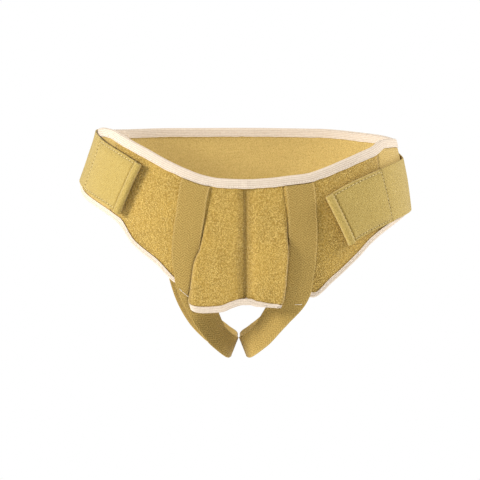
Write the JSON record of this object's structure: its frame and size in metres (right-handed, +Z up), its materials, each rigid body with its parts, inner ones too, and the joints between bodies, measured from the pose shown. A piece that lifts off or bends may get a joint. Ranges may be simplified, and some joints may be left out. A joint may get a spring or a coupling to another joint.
{
  "type": "hernia belt",
  "caption": "Pull-on groin hernia belt in its worn shape: bound loop-cloth front, elastic back, side straps that fasten forwards and leg straps between the thighs.",
  "frame": {"origin": "the mount hips: the middle of the wearer's hips, on the mid-plane, level with the belt's top edge at the front", "axes": "+X to the wearer's left, +Y to the back, +Z up"},
  "size_m": [0.351, 0.2442, 0.2453],
  "materials": {
    "loop_cloth": "brushed loop pile",
    "back_elastic": "wide woven elastic",
    "binding_tape": "ribbed fold-over tape",
    "webbing": "twill-woven elastic webbing",
    "strap_elastic": "brushed elastic"
  },
  "bodies": {
    "root": {"front_panel_right": "loop_cloth", "front_panel_left": "loop_cloth", "centre_seam": "loop_cloth", "back_panel": "back_elastic", "waist_binding": "binding_tape", "hem_binding": "binding_tape", "leg_binding": "binding_tape", "leg_strap_right": "webbing", "leg_strap_left": "webbing", "side_strap_right": "strap_elastic", "side_strap_left": "strap_elastic"}
  },
  "joints": []
}
